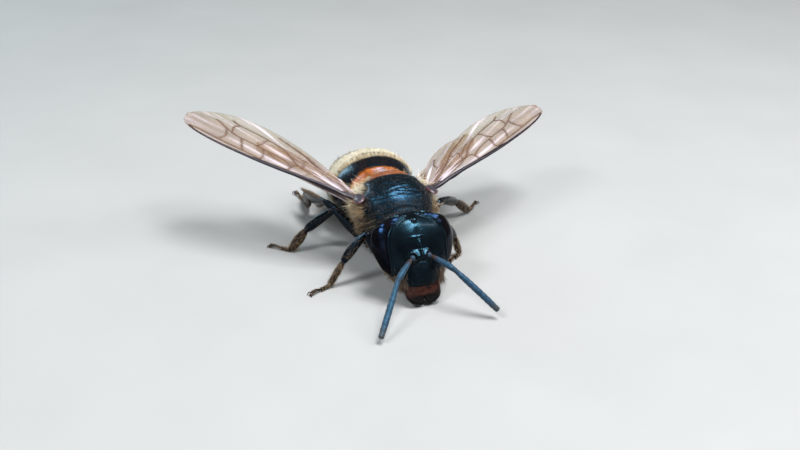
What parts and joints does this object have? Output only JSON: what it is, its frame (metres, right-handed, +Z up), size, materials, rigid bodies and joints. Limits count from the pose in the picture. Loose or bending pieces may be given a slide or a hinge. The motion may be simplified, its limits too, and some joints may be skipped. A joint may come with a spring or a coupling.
{
  "type": "worker honey bee",
  "caption": "Life-size still model of a worker honey bee, head down, wings half spread, parted into head, thorax, abdomen, wings, legs and feelers.",
  "frame": {"origin": "middle of the bounding box, at the level of the feet", "axes": "+Z up; the bee faces -Y; +X is its left side, along the spread wings"},
  "size_m": [0.018, 0.0154, 0.0063],
  "materials": {
    "shell": "glossy blue-black shell",
    "eye": "glossy black lens",
    "mouth": "satin red-brown shell",
    "feeler": "satin slate-black",
    "amber": "satin amber shell",
    "band": "satin brown-black shell",
    "coat": "soft pale tan hair",
    "leg": "satin brown-black shell",
    "wing": "clear smoky membrane with dark veins"
  },
  "bodies": {
    "root": {"head": "shell", "labrum": "mouth", "mandible_left": "mouth", "mandible_right": "mouth", "eye_left": "eye", "eye_right": "eye", "ocellus_middle": "eye", "ocellus_left": "eye", "ocellus_right": "eye", "antenna_left_scape": "feeler", "antenna_left_flagellum": "feeler", "antenna_right_scape": "feeler", "antenna_right_flagellum": "feeler", "neck": "shell", "pronotum": "coat", "thorax": "shell", "scutellum": "shell", "propodeum": "coat", "tegula_left": "shell", "tegula_right": "shell", "waist": "shell", "abdomen_1": "amber", "abdomen_2": "amber", "abdomen_3": "band", "abdomen_4": "band", "abdomen_5": "band", "abdomen_6": "band", "forewing_left": "wing", "forewing_right": "wing", "hindwing_left": "wing", "hindwing_right": "wing", "leg_fore_right_coxa": "leg", "leg_fore_right_femur": "leg", "leg_fore_right_tibia": "leg", "leg_fore_right_tarsus": "leg", "leg_fore_left_coxa": "leg", "leg_fore_left_femur": "leg", "leg_fore_left_tibia": "leg", "leg_fore_left_tarsus": "leg", "leg_mid_right_coxa": "leg", "leg_mid_right_femur": "leg", "leg_mid_right_tibia": "leg", "leg_mid_right_tarsus": "leg", "leg_mid_left_coxa": "leg", "leg_mid_left_femur": "leg", "leg_mid_left_tibia": "leg", "leg_mid_left_tarsus": "leg", "leg_hind_right_coxa": "leg", "leg_hind_right_femur": "leg", "leg_hind_right_tibia": "leg", "leg_hind_right_tarsus": "leg", "leg_hind_left_coxa": "leg", "leg_hind_left_femur": "leg", "leg_hind_left_tibia": "leg", "leg_hind_left_tarsus": "leg"}
  },
  "joints": []
}
